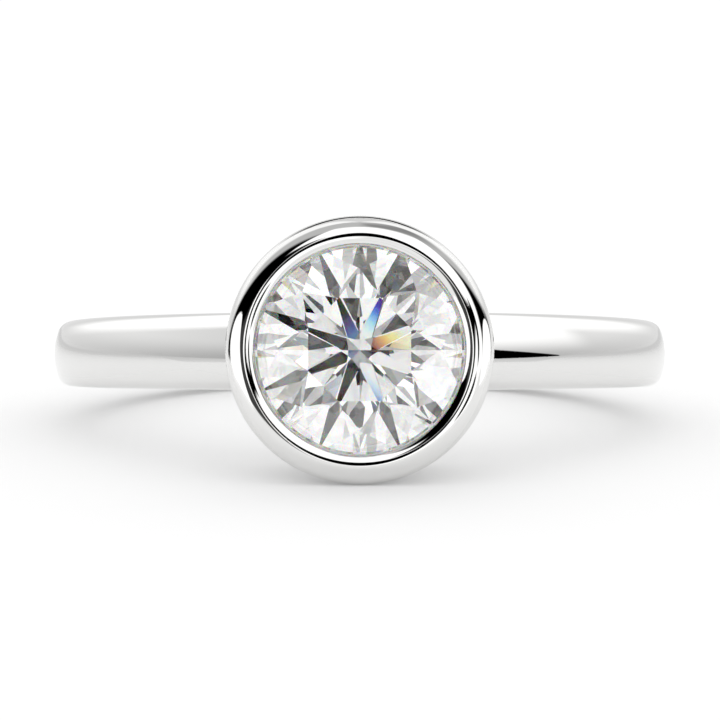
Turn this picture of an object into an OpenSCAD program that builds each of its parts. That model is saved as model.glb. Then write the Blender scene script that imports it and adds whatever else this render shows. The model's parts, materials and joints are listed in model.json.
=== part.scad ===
// Bezel-set solitaire ring, lying on its side as it rests by itself on a table.
//
// Both pieces are drawn in the ring's own frame: the finger's axis is Z and the stone looks along -Y.
// The last step, laid_down(), leans the ring until the rim of its cup and the back of its band
// touch the ground together. +Z is up, and the origin is under the middle of the ring.
// Sizes are in millimetres.

/* [Band] */
// Inner diameter, where the finger goes
finger_d = 16.5; // [15.5:0.1:20]
// Thickness of the band at the middle of its outside
band_t = 1.68; // [1.5:0.02:1.9]
// Width of the band beside the cup
band_w_head = 2.36; // [2.32:0.02:2.4]
// Width of the band at the back of the finger
band_w_back = 1.74; // [1.7, 1.74, 1.9]
// Radius of the domed outside across the band
dome_r = 1.42; // [1.35, 1.38, 1.4, 1.42]
// Radius of the band's outer edges
edge_r = 0.45; // [0.35:0.01:0.5]
// Chamfer of the band's inner edges
comfort = 0.12; // [0.08:0.01:0.2]

/* [Stone] */
// Diameter of the stone at its girdle
stone_d = 6.5; // [6:0.1:6.8]
// Table across its corners, as a share of the stone's diameter
table_share = 0.5; // [0.48:0.01:0.58]
// Slope of the eight crown mains, in degrees
crown_slope = 34.5; // [33:0.1:36]
// Slope of the eight pavilion mains, in degrees
pavilion_slope = 40.8; // [40:0.1:41.4]
// How far the star facets reach from the table's edge towards the girdle
star_share = 0.5; // [0.45:0.01:0.6]
// How far the lower halves reach from the girdle towards the culet
lower_share = 0.84; // [0.7:0.01:0.85]
// Thickness of the girdle
girdle_t = 0.16; // [0.1:0.01:0.25]
// Height of the culet above the finger
culet_lift = 0.66; // [0.5:0.02:1.2]

/* [Cup] */
// Wall between the stone's girdle and the widest part of the rim
rim_wall = 0.71; // [0.6:0.01:0.85]
// Radius of the rim's outer shoulder
shoulder_r = 0.59; // [0.5:0.01:0.62]
// Height of the rim above the girdle's middle
rim_rise = 0.56; // [0.5:0.01:0.7]
// Radius by which the rim rounds inwards from its crest
crest_r = 0.5; // [0.46:0.01:0.54]
// Overlap of the metal lip over the stone's edge
lip = 0.24; // [0.2:0.01:0.26]
// Lean of the lip's inner face, in degrees
lip_lean = 32; // [28:1:36]
// Lean of the cup's outer wall, in degrees
cup_lean = 17; // [12:0.5:20]
// Radius of the window under the stone, at the finger
window_r = 1.9; // [1.7:0.05:2.1]
// Width of the bearing under the stone's edge
bearing = 0.5; // [0.35:0.01:0.6]
// Gap between the stone and the metal all round
seat_gap = 0.02; // [0.015:0.005:0.03]

/* [Hidden] */
$fn = 96;

// Band
finger_r = finger_d / 2;
band_r = finger_r + band_t;
// Each half of the band leans by this angle, which widens the band towards the cup
half_lean = atan((band_w_head - band_w_back) / 4 / band_r);
half_w = (band_w_head + band_w_back) / 4;
// The straight middle of a half's section, which keeps the two halves flush where they meet
flat_h = band_r * sin(half_lean);
dome_c = [band_r - dome_r, flat_h];
edge_rise = half_w - edge_r - flat_h;
edge_c = dome_c + [sqrt(pow(dome_r - edge_r, 2) - pow(edge_rise, 2)), edge_rise];
dome_end = atan2(edge_rise, edge_c.x - dome_c.x);

// Stone, with heights from the middle of its girdle
stone_r = stone_d / 2;
table_r = stone_r * table_share;
table_h = girdle_t / 2 + (stone_r - table_r) * tan(crown_slope);
culet_h = -girdle_t / 2 - stone_r * tan(pavilion_slope);
table_edge_r = table_r * cos(22.5);
star_r = table_edge_r + star_share * (stone_r - table_edge_r);
star_h = girdle_t / 2 + (stone_r - star_r * cos(22.5)) * tan(crown_slope);
lower_r = stone_r * (1 - lower_share);
lower_h = -girdle_t / 2 - (stone_r - lower_r * cos(22.5)) * tan(pavilion_slope);
girdle_lift = finger_r + culet_lift - culet_h;
// Steepest rise of the crown and fall of the pavilion, which the metal follows at a small gap
crown_rise = (star_h - girdle_t / 2) / (stone_r - star_r);
pavilion_rise = (-girdle_t / 2 - lower_h) / (stone_r - lower_r);

// Cup, with radii from the stone's axis and heights from the middle of its girdle
rim_r = stone_r + rim_wall;
shoulder_c = [rim_r - shoulder_r, rim_rise - shoulder_r];
seat_r = stone_r + seat_gap;
lip_r = stone_r - lip;
lip_h = girdle_t / 2 + lip * crown_rise + 1.5 * seat_gap;
lip_top_r = lip_r + (rim_rise - lip_h) * tan(lip_lean);
crest_c = [shoulder_c.x, rim_rise - crest_r];
bearing_r = stone_r - bearing;
bearing_h = -girdle_t / 2 - bearing * pavilion_rise - 1.5 * seat_gap;
finger_h = finger_r - girdle_lift;
// The cup and its window are drawn this far into the finger's space, and the bore trims them
trim = 1;
wall_top = shoulder_c + shoulder_r * [cos(cup_lean), -sin(cup_lean)];
wall_foot_r = wall_top.x - (wall_top.y - finger_h + trim) * tan(cup_lean);

// Rest: the rim's shoulder and the band's back edge are two circles in the plane x = 0,
// as [y, z], and the ground is their lower common tangent
rim_touch = [-girdle_lift - shoulder_c.y, -shoulder_c.x];
back_touch = [
    edge_c.x * cos(half_lean) + edge_c.y * sin(half_lean),
    edge_c.x * sin(half_lean) - edge_c.y * cos(half_lean)
];
span = back_touch - rim_touch;
rest_lean = asin((shoulder_r - edge_r) / norm(span)) + atan2(span.y, span.x);
ground = [sin(rest_lean), -cos(rest_lean)];
rest_lift = rim_touch * ground + shoulder_r;
// The ring's front end at the table's lower edge and its back end, which the origin halves
ahead = [cos(rest_lean), sin(rest_lean)];
dome_back = [
    dome_c.x * cos(half_lean) + dome_c.y * sin(half_lean),
    dome_c.y * cos(half_lean) - dome_c.x * sin(half_lean)
];
front_end = [-girdle_lift - table_h, -table_edge_r] * ahead;
back_end = dome_back * ahead + dome_r;

// Leans the ring back until it rests, with the origin under its middle
module laid_down() {
    translate([0, -(front_end + back_end) / 2, rest_lift])
        rotate([-rest_lean, 0, 0])
            children();
}

// Turns a shape that stands on Z so that it looks along -Y, with its zero at the girdle's middle
module on_stone_axis() {
    rotate([90, 0, 0])
        translate([0, 0, girdle_lift])
            children();
}

// A slice of a disc, from one angle to another less than 180 degrees on
module sector(centre, radius, from, to) {
    intersection() {
        translate(centre)
            circle(radius);
        polygon([
            centre,
            centre + 2 * radius * [cos(from), sin(from)],
            centre + 2 * radius * [cos((from + to) / 2), sin((from + to) / 2)],
            centre + 2 * radius * [cos(to), sin(to)]
        ]);
    }
}

// Upper half of the band's section: straight middle, dome, round outer edge, chamfered inner edge
module half_section() {
    inner = finger_r - 0.5;
    translate([inner, -2 * flat_h])
        square([band_r - inner, 3 * flat_h]);
    sector(dome_c, dome_r, 0, dome_end);
    translate(edge_c)
        circle(edge_r);
    polygon([
        [inner, 0],
        [edge_c.x, 0],
        edge_c,
        [edge_c.x, half_w],
        [finger_r + comfort, half_w],
        [inner, half_w - comfort - finger_r + inner]
    ]);
}

// Upper half of the band, which leans so that it is widest beside the cup
module half_band() {
    reach = 2 * band_r;
    intersection() {
        rotate([-half_lean, 0, 0])
            rotate_extrude()
                half_section();
        translate([-reach, -reach, 0])
            cube(2 * reach);
    }
}

module band() {
    half_band();
    mirror([0, 0, 1])
        half_band();
}

// Outside of the cup: leaning wall, round shoulder and the crest, which rounds down to the lip
module cup_section() {
    polygon([
        [0, finger_h - trim],
        [wall_foot_r, finger_h - trim],
        wall_top,
        shoulder_c,
        crest_c,
        [0, crest_c.y]
    ]);
    sector(shoulder_c, shoulder_r, -cup_lean, 90);
    sector(crest_c, crest_r, 90, 180);
}

// The cup is turned about its own axis, so that its seam is clear of the band's middle
module cup() {
    on_stone_axis()
        rotate(40)
            rotate_extrude()
                cup_section();
}

// Room inside the cup: leaning lip, groove for the girdle, bearing and window
module cup_hollow() {
    on_stone_axis()
        rotate(50)
            rotate_extrude()
                polygon([
                    [0, rim_rise],
                    [lip_top_r, rim_rise],
                    [lip_r, lip_h],
                    [seat_r, girdle_t / 2 + seat_gap],
                    [seat_r, -girdle_t / 2 - seat_gap],
                    [bearing_r, bearing_h],
                    [window_r, finger_h],
                    [window_r, finger_h - 2 * trim],
                    [0, finger_h - 2 * trim]
                ]);
}

module mounting() {
    color("gainsboro")
        laid_down()
            difference() {
                union() {
                    band();
                    cup();
                }
                cylinder(r = finger_r, h = 4 * rim_r, center = true);
                cup_hollow();
            }
}

// A point of the stone, which is cut on steps of 22.5 degrees
function cut_point(radius, step, height) = [
    radius * cos(22.5 * step),
    radius * sin(22.5 * step),
    height
];

// Round brilliant: table, 8 stars, 8 crown mains, 16 upper halves, girdle,
// 16 lower halves and 8 pavilion mains, which meet in the culet
module stone() {
    half_girdle = girdle_t / 2;
    points = concat(
        [for (k = [0:7]) cut_point(table_r, 2 * k + 1, table_h)],
        [for (k = [0:7]) cut_point(star_r, 2 * k, star_h)],
        [for (j = [0:15]) cut_point(stone_r, j, half_girdle)],
        [for (j = [0:15]) cut_point(stone_r, j, -half_girdle)],
        [for (k = [0:7]) cut_point(lower_r, 2 * k, lower_h)],
        [[0, 0, culet_h]]
    );
    // Where each ring of points starts in the list, and the k-th point round a ring
    stars = 8;
    top = 16;
    bottom = 32;
    lowers = 48;
    culet = 56;
    function of8(start, k) = start + (k + 8) % 8;
    function of16(start, j) = start + (j + 16) % 16;
    table_facet = [[for (k = [0:7]) 7 - k]];
    star_facets = [for (k = [0:7]) [of8(0, k), of8(stars, k), of8(0, k - 1)]];
    crown_mains = [for (k = [0:7])
        [of8(0, k), of8(stars, k + 1), of16(top, 2 * k + 1), of8(stars, k)]
    ];
    upper_halves = [for (k = [0:7], side = [0, 1])
        [of8(stars, k), of16(top, 2 * k + side), of16(top, 2 * k + side - 1)]
    ];
    girdle_facets = [for (j = [0:15])
        [of16(top, j), of16(top, j + 1), of16(bottom, j + 1), of16(bottom, j)]
    ];
    lower_halves = [for (k = [0:7], side = [0, 1])
        [of8(lowers, k), of16(bottom, 2 * k + side - 1), of16(bottom, 2 * k + side)]
    ];
    pavilion_mains = [for (k = [0:7])
        [culet, of8(lowers, k), of16(bottom, 2 * k + 1), of8(lowers, k + 1)]
    ];
    color("aliceblue")
        laid_down()
            on_stone_axis()
                polyhedron(points, concat(
                    table_facet, star_facets, crown_mains, upper_halves,
                    girdle_facets, lower_halves, pavilion_mains
                ));
}

mounting();
stone();
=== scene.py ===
import json
from math import asin, cos, degrees, pi, radians, sin, sqrt, tan

import bmesh
import bpy
from mathutils import Matrix, Vector


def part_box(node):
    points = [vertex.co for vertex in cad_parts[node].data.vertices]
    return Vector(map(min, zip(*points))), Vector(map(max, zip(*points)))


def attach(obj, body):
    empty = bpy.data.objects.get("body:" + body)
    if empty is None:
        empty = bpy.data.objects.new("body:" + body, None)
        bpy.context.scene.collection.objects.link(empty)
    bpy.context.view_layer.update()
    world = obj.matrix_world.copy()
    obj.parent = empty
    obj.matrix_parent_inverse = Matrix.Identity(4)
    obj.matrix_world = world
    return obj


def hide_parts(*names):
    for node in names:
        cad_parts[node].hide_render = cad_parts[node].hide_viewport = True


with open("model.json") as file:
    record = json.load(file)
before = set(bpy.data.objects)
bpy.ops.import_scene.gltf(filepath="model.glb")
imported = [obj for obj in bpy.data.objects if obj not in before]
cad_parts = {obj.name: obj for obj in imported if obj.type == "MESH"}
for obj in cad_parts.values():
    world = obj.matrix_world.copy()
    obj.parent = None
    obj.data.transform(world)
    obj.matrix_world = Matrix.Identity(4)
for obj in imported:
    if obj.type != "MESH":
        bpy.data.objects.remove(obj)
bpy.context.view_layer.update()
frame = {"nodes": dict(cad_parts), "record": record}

# Band: a plain shank of polished white gold, bent to a round hoop and soldered to the cup.
# It is domed across its outside and comfortable inside, and narrows towards the back of the finger.
# All sizes are millimetres in the ring's own frame: the finger's axis is Z, and the stone looks along -Y.
MM = 0.001
finger_hole = frame["record"]["mounts"][0]
finger_r = finger_hole["dims"]["r_mm"]
band_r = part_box("mounting")[1].x / MM
band_width_beside_cup = 2.36
band_width_at_back = 1.74
dome_r = 2.2
outer_edge_r = 0.45
inner_edge_r = 0.15
soldered_half_width = 2.45
band_start = asin(soldered_half_width / finger_r)
steps_round_band = 360

finger_axis = Vector(finger_hole["axis"]).normalized()
across = Vector((1, 0, 0))
backwards = finger_axis.cross(across)
turn = Matrix((across, backwards, finger_axis)).transposed().to_4x4()
ring_to_row = Matrix.Translation(finger_hole["pos_m"]) @ turn @ Matrix.Scale(MM, 4)


def arc(centre, radius, start, end, steps):
    angles = [radians(start + (end - start) * k / steps) for k in range(steps + 1)]
    return [(centre[0] + radius * cos(a), centre[1] + radius * sin(a)) for a in angles]


def skin(name, rows, ends_meet):
    """A closed tube through rows of points, each row a closed loop, capped unless its ends meet."""
    bm = bmesh.new()
    loops = [[bm.verts.new(ring_to_row @ Vector(p)) for p in row] for row in rows]
    pairs = list(zip(loops, loops[1:]))
    if ends_meet:
        pairs.append((loops[-1], loops[0]))
    else:
        bm.faces.new(loops[0])
        bm.faces.new(loops[-1])
    for a, b in pairs:
        for k in range(len(a)):
            bm.faces.new((a[k - 1], a[k], b[k], b[k - 1]))
    bmesh.ops.recalc_face_normals(bm, faces=bm.faces)
    mesh = bpy.data.meshes.new(name)
    bm.to_mesh(mesh)
    bm.free()
    mesh.shade_smooth()
    piece = bpy.data.objects.new(name, mesh)
    bpy.context.scene.collection.objects.link(piece)
    return piece


def band_row(angle):
    """The band's section at this angle round the finger from the cup."""
    swell = (band_width_beside_cup - band_width_at_back) / 4 * cos(angle)
    half_w = (band_width_beside_cup + band_width_at_back) / 4 + swell
    edge_z = half_w - outer_edge_r
    edge_x = band_r - dome_r + sqrt((dome_r - outer_edge_r) ** 2 - edge_z ** 2)
    dome_end = degrees(asin(edge_z / (dome_r - outer_edge_r)))
    upper = arc((band_r - dome_r, 0), dome_r, 0, dome_end, 10)[:-1]
    upper += arc((edge_x, edge_z), outer_edge_r, dome_end, 90, 14)
    upper += arc((finger_r + inner_edge_r, half_w - inner_edge_r), inner_edge_r, 90, 180, 8)
    lower = [(x, -z) for x, z in reversed(upper[1:])]
    return [(x * sin(angle), -x * cos(angle), z) for x, z in upper + lower]


band_angles = [
    band_start + (2 * pi - 2 * band_start) * k / steps_round_band
    for k in range(steps_round_band + 1)
]
band = skin("band", [band_row(angle) for angle in band_angles], False)
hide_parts("mounting")
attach(band, "root")

# Cup: a turned ring of the same metal that holds the stone by its edge, so no prong shows.
# Its wall leans out to a thick round shoulder, its crest rounds inwards, and a bright-cut lip leans
# down onto the stone, which it holds. A window under the stone opens into the finger hole.
stone = frame["nodes"]["stone"]
stone_points = [ring_to_row.inverted() @ v.co for v in stone.data.vertices]
stone_r = max(p.x for p in stone_points)
girdle = [-p.y for p in stone_points if sqrt(p.x ** 2 + p.z ** 2) > 0.99 * stone_r]
girdle_lift = (min(girdle) + max(girdle)) / 2
rim_wall = 0.71
rim_r = stone_r + rim_wall
shoulder_r = 0.59
rim_rise = 0.56
crest_r = 0.5
cup_lean = 17
lip_r = stone_r - 0.24
lip_foot = 0.309
lip_top_r = stone_r - 0.122
groove_r = stone_r + 0.02
groove_h = 0.1
bearing_r = stone_r - 0.5
bearing_h = -0.5479
window_r = 1.9
window_round = 0.01
foot_edge = 0.1
steps_round_cup = 360

shoulder_x = rim_r - shoulder_r
shoulder_h = rim_rise - shoulder_r
crest_h = rim_rise - crest_r
crest_end = 90 + degrees(asin((shoulder_x - lip_top_r) / crest_r))
wall_top_x = shoulder_x + shoulder_r * cos(radians(cup_lean))
wall_top_h = shoulder_h - shoulder_r * sin(radians(cup_lean))


def cup_row(angle):
    """The cup's section at this angle round the stone's axis, from its shoulder to its wall."""

    def bore(x):
        return sqrt(finger_r ** 2 - (x * cos(angle)) ** 2) - girdle_lift

    def wall_x(h):
        return wall_top_x - (wall_top_h - h) * tan(radians(cup_lean))

    def rounded(a, corner, b, steps=5):
        ts = [k / steps for k in range(steps + 1)]
        return [
            tuple((1 - t) ** 2 * p + 2 * t * (1 - t) * q + t * t * r for p, q, r in zip(a, corner, b))
            for t in ts
        ]

    foot_h = finger_r - girdle_lift
    for _ in range(8):
        foot_h = bore(wall_x(foot_h))
    foot_x = wall_x(foot_h)
    loop = arc((shoulder_x, shoulder_h), shoulder_r, -cup_lean, 90, 36)[:-1]
    loop += arc((shoulder_x, crest_h), crest_r, 90, crest_end, 18)
    loop += [(lip_r, lip_foot), (groove_r, groove_h), (groove_r, -groove_h)]
    loop += [(bearing_r, bearing_h)]
    loop += rounded(
        (window_r + window_round, bore(window_r) + foot_edge),
        (window_r, bore(window_r)),
        (window_r + foot_edge, bore(window_r + foot_edge)),
    )
    middle_x = (window_r + foot_x) / 2
    loop += [(middle_x, bore(middle_x))]
    loop += rounded(
        (foot_x - foot_edge, bore(foot_x - foot_edge)),
        (foot_x, foot_h),
        (wall_x(foot_h + foot_edge), foot_h + foot_edge),
    )
    for share in (0.3, 0.6, 0.9):
        h = foot_h + share * (wall_top_h - foot_h)
        loop += [(wall_x(h), h)]
    return [(x * cos(angle), -(h + girdle_lift), x * sin(angle)) for x, h in loop]


cup_angles = [2 * pi * k / steps_round_cup for k in range(steps_round_cup)]
cup = skin("cup", [cup_row(angle) for angle in cup_angles], True)
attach(cup, "root")

# White gold: plated with rhodium and buffed to a mirror, with the faint cloudiness
# and hair-fine swirls that a buffing wheel leaves.
metal = bpy.data.materials.new("white_gold")
metal.use_nodes = True
nodes = metal.node_tree.nodes
links = metal.node_tree.links


def linked(value, socket):
    if isinstance(value, bpy.types.NodeSocket):
        links.new(value, socket)
    elif value is not None:
        socket.default_value = value


def math(operation, a, b=None):
    node = nodes.new("ShaderNodeMath")
    node.operation = operation
    linked(a, node.inputs[0])
    linked(b, node.inputs[1])
    return node.outputs["Value"]


def ramp(value, start, end):
    """A smooth step from 0 to 1 as the value goes from start to end."""
    node = nodes.new("ShaderNodeMapRange")
    node.interpolation_type = "SMOOTHSTEP"
    linked(value, node.inputs["Value"])
    linked(start, node.inputs["From Min"])
    linked(end, node.inputs["From Max"])
    return node.outputs["Result"]


def mixed(a, b, factor):
    node = nodes.new("ShaderNodeMix")
    linked(factor, node.inputs["Factor"])
    linked(a, node.inputs["A"])
    linked(b, node.inputs["B"])
    return node.outputs["Result"]


def noise(where, scale, detail):
    node = nodes.new("ShaderNodeTexNoise")
    node.inputs["Scale"].default_value = scale
    node.inputs["Detail"].default_value = detail
    links.new(where, node.inputs["Vector"])
    return node.outputs["Fac"]


shader = nodes["Principled BSDF"]
shader.inputs["Base Color"].default_value = (0.8, 0.798, 0.79, 1)
shader.inputs["Metallic"].default_value = 1
where = nodes.new("ShaderNodeTexCoord")
cloud = ramp(noise(where.outputs["Object"], 600, 3), 0.35, 0.65)
swirl = nodes.new("ShaderNodeTexWave")
swirl.wave_type = "RINGS"
swirl.rings_direction = "Z"
swirl.inputs["Scale"].default_value = 2200
swirl.inputs["Distortion"].default_value = 14
swirl.inputs["Detail"].default_value = 4
swirl.inputs["Detail Scale"].default_value = 0.4
links.new(where.outputs["Object"], swirl.inputs["Vector"])
hairlines = ramp(swirl.outputs["Fac"], 0.9, 1.0)
haze = mixed(0.004, 0.014, cloud)
links.new(math("ADD", haze, math("MULTIPLY", hairlines, 0.012)), shader.inputs["Roughness"])
bump = nodes.new("ShaderNodeBump")
bump.inputs["Strength"].default_value = 0.3
bump.inputs["Distance"].default_value = 0.0000002
links.new(hairlines, bump.inputs["Height"])
links.new(bump.outputs["Normal"], shader.inputs["Normal"])
for piece in (band, cup):
    piece.data.materials.append(metal)

# Stone: a round brilliant diamond, polished on every facet and left frosted round its girdle.
# Each colour of light bends by its own amount on the way out, which gives the stone its fire.
diamond = bpy.data.materials.new("diamond")
diamond.use_nodes = True
nodes = diamond.node_tree.nodes
links = diamond.node_tree.links
nodes.remove(nodes["Principled BSDF"])
mean_ior = 2.42
colours_of_light = [
    ((0.42, 0.00, 0.00, 1), -0.010),
    ((0.42, 0.26, 0.00, 1), -0.004),
    ((0.08, 0.48, 0.04, 1), 0.001),
    ((0.00, 0.26, 0.38, 1), 0.007),
    ((0.08, 0.00, 0.58, 1), 0.016),
]
coming_out = None
for colour, more_ior in colours_of_light:
    bent = nodes.new("ShaderNodeBsdfRefraction")
    bent.inputs["Color"].default_value = colour
    bent.inputs["IOR"].default_value = mean_ior + more_ior
    bent.inputs["Roughness"].default_value = 0
    if coming_out is None:
        coming_out = bent.outputs["BSDF"]
    else:
        both = nodes.new("ShaderNodeAddShader")
        links.new(coming_out, both.inputs[0])
        links.new(bent.outputs["BSDF"], both.inputs[1])
        coming_out = both.outputs["Shader"]
mirrored = nodes.new("ShaderNodeBsdfGlossy")
mirrored.inputs["Color"].default_value = (1, 1, 1, 1)
mirrored.inputs["Roughness"].default_value = 0
edge_on = nodes.new("ShaderNodeFresnel")
edge_on.inputs["IOR"].default_value = mean_ior
inside = nodes.new("ShaderNodeMixShader")
links.new(edge_on.outputs["Fac"], inside.inputs["Fac"])
links.new(coming_out, inside.inputs[1])
links.new(mirrored.outputs["BSDF"], inside.inputs[2])
outside = nodes.new("ShaderNodeBsdfGlass")
outside.inputs["IOR"].default_value = mean_ior
outside.inputs["Roughness"].default_value = 0
facing = nodes.new("ShaderNodeNewGeometry")
side = nodes.new("ShaderNodeMixShader")
links.new(facing.outputs["Backfacing"], side.inputs["Fac"])
links.new(outside.outputs["BSDF"], side.inputs[1])
links.new(inside.outputs["Shader"], side.inputs[2])
where = nodes.new("ShaderNodeTexCoord")
stone_axis = (ring_to_row.to_3x3() @ Vector((0, -1, 0))).normalized()
from_middle = nodes.new("ShaderNodeVectorMath")
from_middle.operation = "SUBTRACT"
from_middle.inputs[1].default_value = ring_to_row.translation
links.new(where.outputs["Object"], from_middle.inputs[0])
sideways = nodes.new("ShaderNodeVectorMath")
sideways.operation = "CROSS_PRODUCT"
sideways.inputs[1].default_value = stone_axis
links.new(from_middle.outputs["Vector"], sideways.inputs[0])
off_axis = nodes.new("ShaderNodeVectorMath")
off_axis.operation = "LENGTH"
links.new(sideways.outputs["Vector"], off_axis.inputs[0])
frost_starts = stone_r - 0.03
frost_full = stone_r - 0.015
at_girdle = ramp(off_axis.outputs["Value"], frost_starts * MM, frost_full * MM)
grain = ramp(noise(where.outputs["Object"], 9000, 2), 0.4, 0.6)
frost = nodes.new("ShaderNodeBsdfDiffuse")
frost.inputs["Color"].default_value = (0.62, 0.58, 0.5, 1)
stone_surface = nodes.new("ShaderNodeMixShader")
links.new(math("MULTIPLY", at_girdle, mixed(0.5, 0.9, grain)), stone_surface.inputs["Fac"])
links.new(side.outputs["Shader"], stone_surface.inputs[1])
links.new(frost.outputs["BSDF"], stone_surface.inputs[2])
links.new(stone_surface.outputs["Shader"], nodes["Material Output"].inputs["Surface"])
stone.data.materials.clear()
stone.data.materials.append(diamond)

# Floor: a plain white table lit a little from below, on which the ring lies back on its own rim
# and band. In reflections it fades out some way off, where the studio's panels stand.
paper = bpy.data.materials.new("white_table")
paper.use_nodes = True
nodes = paper.node_tree.nodes
links = paper.node_tree.links

floor_r = 3.0
bpy.ops.mesh.primitive_circle_add(vertices=128, radius=floor_r, fill_type="NGON")
floor = bpy.context.object
floor.name = "floor"
shader = nodes["Principled BSDF"]
shader.inputs["Base Color"].default_value = (0.69, 0.69, 0.69, 1)
shader.inputs["Emission Color"].default_value = (1, 1, 1, 1)
shader.inputs["Emission Strength"].default_value = 0.165
shader.inputs["Roughness"].default_value = 0.9
shader.inputs["Specular IOR Level"].default_value = 0
where = nodes.new("ShaderNodeTexCoord")
length = nodes.new("ShaderNodeVectorMath")
length.operation = "LENGTH"
links.new(where.outputs["Object"], length.inputs[0])
parts = nodes.new("ShaderNodeSeparateXYZ")
links.new(where.outputs["Object"], parts.inputs[0])
away = length.outputs["Value"]
in_front = ramp(parts.outputs["Y"], -12.5 * MM, -14.5 * MM)
ends_here = math("MULTIPLY", ramp(away, 23 * MM, 28 * MM), in_front)
fades = math("MULTIPLY", ramp(away, 10 * MM, 55 * MM), 0.95)
path = nodes.new("ShaderNodeLightPath")
mirrored = math("MAXIMUM", path.outputs["Is Glossy Ray"], path.outputs["Is Transmission Ray"])
gone = math("MULTIPLY", mirrored, math("MAXIMUM", ends_here, fades))
clear = nodes.new("ShaderNodeBsdfTransparent")
seen = nodes.new("ShaderNodeMixShader")
links.new(gone, seen.inputs["Fac"])
links.new(shader.outputs["BSDF"], seen.inputs[1])
links.new(clear.outputs["BSDF"], seen.inputs[2])
links.new(seen.outputs["Shader"], nodes["Material Output"].inputs["Surface"])
floor.data.materials.append(paper)

# Veil: a sheer box, two sheets thick, round the band and behind the stone's rim. It shades nothing.
# The studio counts the sheets that a ray has come through, so the band mirrors its own side of it.
veil_front = 11.3
veil_r = 12.5
veil_half_w = 5
sheet_gap = 0.1
veil_cloth = bpy.data.materials.new("veil")
veil_cloth.use_nodes = True
nodes = veil_cloth.node_tree.nodes
links = veil_cloth.node_tree.links
nodes.remove(nodes["Principled BSDF"])
clear = nodes.new("ShaderNodeBsdfTransparent")
links.new(clear.outputs["BSDF"], nodes["Material Output"].inputs["Surface"])
bm = bmesh.new()
for more in (0, sheet_gap):
    size = (2 * (veil_r + more), veil_front + veil_r + 2 * more, 2 * (veil_half_w + more))
    middle = Matrix.Translation((0, (veil_r - veil_front) / 2, 0))
    bmesh.ops.create_cube(bm, size=1, matrix=ring_to_row @ middle @ Matrix.Diagonal((*size, 1)))
mesh = bpy.data.meshes.new("veil")
bm.to_mesh(mesh)
bm.free()
mesh.materials.append(veil_cloth)
veil = bpy.data.objects.new("veil", mesh)
bpy.context.scene.collection.objects.link(veil)
veil.visible_camera = False
veil.visible_diffuse = False
veil.visible_shadow = False

# Studio: white panels at both sides and above the lens, black flags that draw the dark lines, and a
# dark gap for the lens. Rim, band and stone are each lit in their own way, so each has its own set.
# Directions are degrees: across is 0 towards the camera and grows to the picture's right.
world = bpy.data.worlds.new("studio")
bpy.context.scene.world = world
world.cycles.sampling_method = "NONE"
world.use_nodes = True
nodes = world.node_tree.nodes
links = world.node_tree.links
background = nodes["Background"]
direction = nodes.new("ShaderNodeTexCoord")
parts = nodes.new("ShaderNodeSeparateXYZ")
links.new(direction.outputs["Generated"], parts.inputs[0])
towards_lens = math("MULTIPLY", parts.outputs["Y"], -1.0)
azimuth = math("DEGREES", math("ARCTAN2", parts.outputs["X"], towards_lens))
height = math("DEGREES", math("ARCSINE", parts.outputs["Z"]))
turned = math("ABSOLUTE", azimuth)


def line(at, value, slope):
    """A height that changes evenly with the direction across."""
    return math("ADD", math("MULTIPLY", math("SUBTRACT", azimuth, at), slope), value)


def square(value):
    return math("MULTIPLY", value, value)


def panel(left, right, bottom, top, soft=1.5, soft_top=None):
    soft_top = soft if soft_top is None else soft_top
    sides = math(
        "MULTIPLY",
        ramp(azimuth, left - soft, left + soft),
        ramp(azimuth, right + soft, right - soft),
    )
    rise = ramp(math("SUBTRACT", height, bottom), -soft, soft)
    fall = ramp(math("SUBTRACT", height, top), soft_top, -soft_top)
    return math("MULTIPLY", sides, math("MULTIPLY", rise, fall))


def round_panel(across, up, half_wide, half_high, soft=0.06):
    x = math("DIVIDE", math("SUBTRACT", azimuth, across), half_wide)
    y = math("DIVIDE", math("SUBTRACT", height, up), half_high)
    return ramp(math("ADD", square(x), square(y)), 1 + soft, 1 - soft)


white = 1.35
black = 0.0

light = mixed(1.0, 0.82, ramp(height, -6, 12))
grey_ceiling = math("MULTIPLY", ramp(height, 20, 45), ramp(turned, 110, 80))
beside_ring = math("MULTIPLY", ramp(turned, 85, 115), ramp(turned, 165, 145))
bright_walls = math("MULTIPLY", beside_ring, ramp(height, 8, 26))
dark_ceiling = panel(5, 110, 58, 80, 10)
between_walls = math("MULTIPLY", ramp(height, 26, 34), ramp(height, 60, 50))
dark_behind = math("MULTIPLY", ramp(turned, 140, 160), between_walls)
from_flag = math("DIVIDE", math("ADD", azimuth, 30.0), 84.0)
flag_top = math("MULTIPLY", 49.0, math("SUBTRACT", 1.0, square(from_flag)))
arched_flag_at_left = panel(-116, -18, -5.0, flag_top, 2, 6)
sloping_flag_at_right = panel(50, 116, -5.0, line(52, 43, -0.52), 3, 6)
panel_above_lens = panel(-18, 47, 0.0, 58, 2, 4)
panel_edge = panel(-22, -5, 12, line(-20, 31, -0.45), 1.5, 2)
stand_at_left = panel(-31, -6, -3.5, 14, 2)
lamp_at_left = round_panel(-7.5, 10, 4, 3.5, 0.2)
card_below_lens = panel(0, 40, -14.0, 3.0, 1.5)
arm_at_right = panel(3, 26, line(5, 8.5, 0.25), line(5, 12, 0.3), 1)
clamp_at_right = round_panel(25, 12, 5, 7, 0.3)
foot_at_right = round_panel(22, -1, 6, 5, 0.3)
disc_at_left = round_panel(-61, 1, 34, 19)
disc_at_right = round_panel(80, 1, 32, 14.5)
lens = round_panel(0.5, 12, 4.8, 10.5, 0.2)
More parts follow.
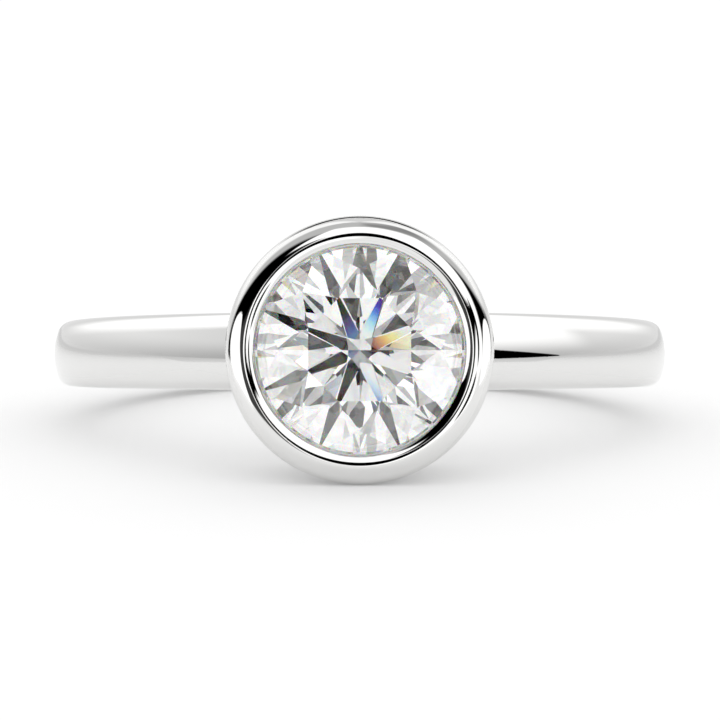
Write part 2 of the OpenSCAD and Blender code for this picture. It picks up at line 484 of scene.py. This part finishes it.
seen_by_rim = [
    (0.6, grey_ceiling),
    (1.2, bright_walls),
    (0.3, dark_ceiling),
    (0.04, dark_behind),
    (black, arched_flag_at_left),
    (black, sloping_flag_at_right),
    (white, panel_above_lens),
    (black, panel_edge),
    (0.06, stand_at_left),
    (white, lamp_at_left),
    (white, card_below_lens),
    (black, arm_at_right),
    (black, clamp_at_right),
    (black, foot_at_right),
    (white, disc_at_left),
    (white, disc_at_right),
    (black, lens),
]
for brightness, spot in seen_by_rim:
    light = mixed(light, brightness, spot)

table_end = math("SUBTRACT", -2.0, math("MULTIPLY", ramp(turned, 100, 45), 3.0))
above_table = math("SUBTRACT", height, table_end)
slope_top = math("SUBTRACT", 65.3, math("MULTIPLY", turned, 0.42))
further_round = math("MULTIPLY", math("SUBTRACT", turned, 65.0), 0.0028)
band_light = math("ADD", mixed(0.55, 0.86, ramp(height, -6, 22)), further_round)
band_light = mixed(band_light, white, ramp(math("SUBTRACT", height, slope_top), -4, 5))
high_panel = math("MULTIPLY", ramp(height, 0, 27), ramp(azimuth, 101, 86))
band_light = mixed(band_light, white, math("MULTIPLY", high_panel, ramp(azimuth, 0, 1)))
behind = math("MULTIPLY", ramp(turned, 128, 160), ramp(height, 54, 36))
band_light = mixed(band_light, 0.82, behind)
wedge = math(
    "MULTIPLY",
    ramp(math("SUBTRACT", height, line(52, 7.5, -0.35)), 0.6, -0.6),
    ramp(math("ABSOLUTE", math("SUBTRACT", azimuth, 58)), 21, 20),
)
band_light = mixed(band_light, black, wedge)
table_light = mixed(0.68, 0.92, ramp(height, -2, -16))
band_light = mixed(table_light, band_light, ramp(above_table, -0.5, 0.5))

stone_light = mixed(0.75, 0.5, panel(-45, 45, -30, 55))
seen_by_stone = {
    "white below the lens": (0.8, panel(-40, 12, -20, -8, 0.5)),
    "white at the left": (1.05, panel(-50, -17, -24, 16, 0.5)),
    "white at the right": (1.1, panel(3.5, 26, -28, 40, 0.5)),
    "white above the lens": (1.3, panel(-8, 20, 22, 38, 0.5)),
    "flag at the left": (0.08, panel(-46, -12, 19, 32, 0.5)),
    "far flag at the right": (0.1, panel(27, 44, 3, 46, 0.5)),
    "near flag at the right": (0.1, panel(11.1, 19, 6, 22, 0.25)),
    "gap for the lens": (black, panel(-15, 5, -5, line(0, 19, -0.05), 0.25)),
    "lens": (0.6, round_panel(0, 8, 4, 7)),
}
for brightness, spot in seen_by_stone.values():
    stone_light = mixed(stone_light, brightness, spot)

rays = nodes.new("ShaderNodeLightPath")
sheets = math("MODULO", rays.outputs["Transparent Depth"], 4.0)
light = mixed(light, band_light, math("GREATER_THAN", sheets, 1.5))
light = mixed(light, stone_light, math("GREATER_THAN", rays.outputs["Transmission Depth"], 0.5))
for_the_floor = 1.25
light = mixed(light, for_the_floor, rays.outputs["Is Diffuse Ray"])
light = mixed(light, 1.0, rays.outputs["Is Camera Ray"])
links.new(light, background.inputs["Color"])

# Camera: a long lens a little above the table, close to the stone's own axis, so the ring shows
# almost without perspective and the stone looks straight into it.
lens_px = 3674.6
picture_px = 720
camera_away = 120
camera_up = 7.7
ring_seen_left = 0.3
ring_seen_above = 5.8
camera = bpy.data.objects.new("camera", bpy.data.cameras.new("camera"))
bpy.context.scene.collection.objects.link(camera)
bpy.context.scene.camera = camera
camera.data.sensor_width = 36
camera.data.lens = 36 * lens_px / picture_px
camera.data.clip_start = 0.01
camera.data.clip_end = 10
ring_middle = Vector(finger_hole["pos_m"])
lens_axis = Vector((0, -cos(radians(camera_up)), sin(radians(camera_up))))
picture_up = Vector((0, sin(radians(camera_up)), cos(radians(camera_up))))
mm_per_px = camera_away / lens_px
camera.location = ring_middle + lens_axis * camera_away * MM
aim = ring_middle + (across * ring_seen_left - picture_up * ring_seen_above) * mm_per_px * MM
camera.rotation_euler = (camera.location - aim).to_track_quat("Z", "Y").to_euler()

scene = bpy.context.scene
scene.view_settings.view_transform = "Standard"
scene.cycles.max_bounces = 32
scene.cycles.transmission_bounces = 32
scene.cycles.glossy_bounces = 32
scene.cycles.diffuse_bounces = 3
scene.cycles.transparent_max_bounces = 32
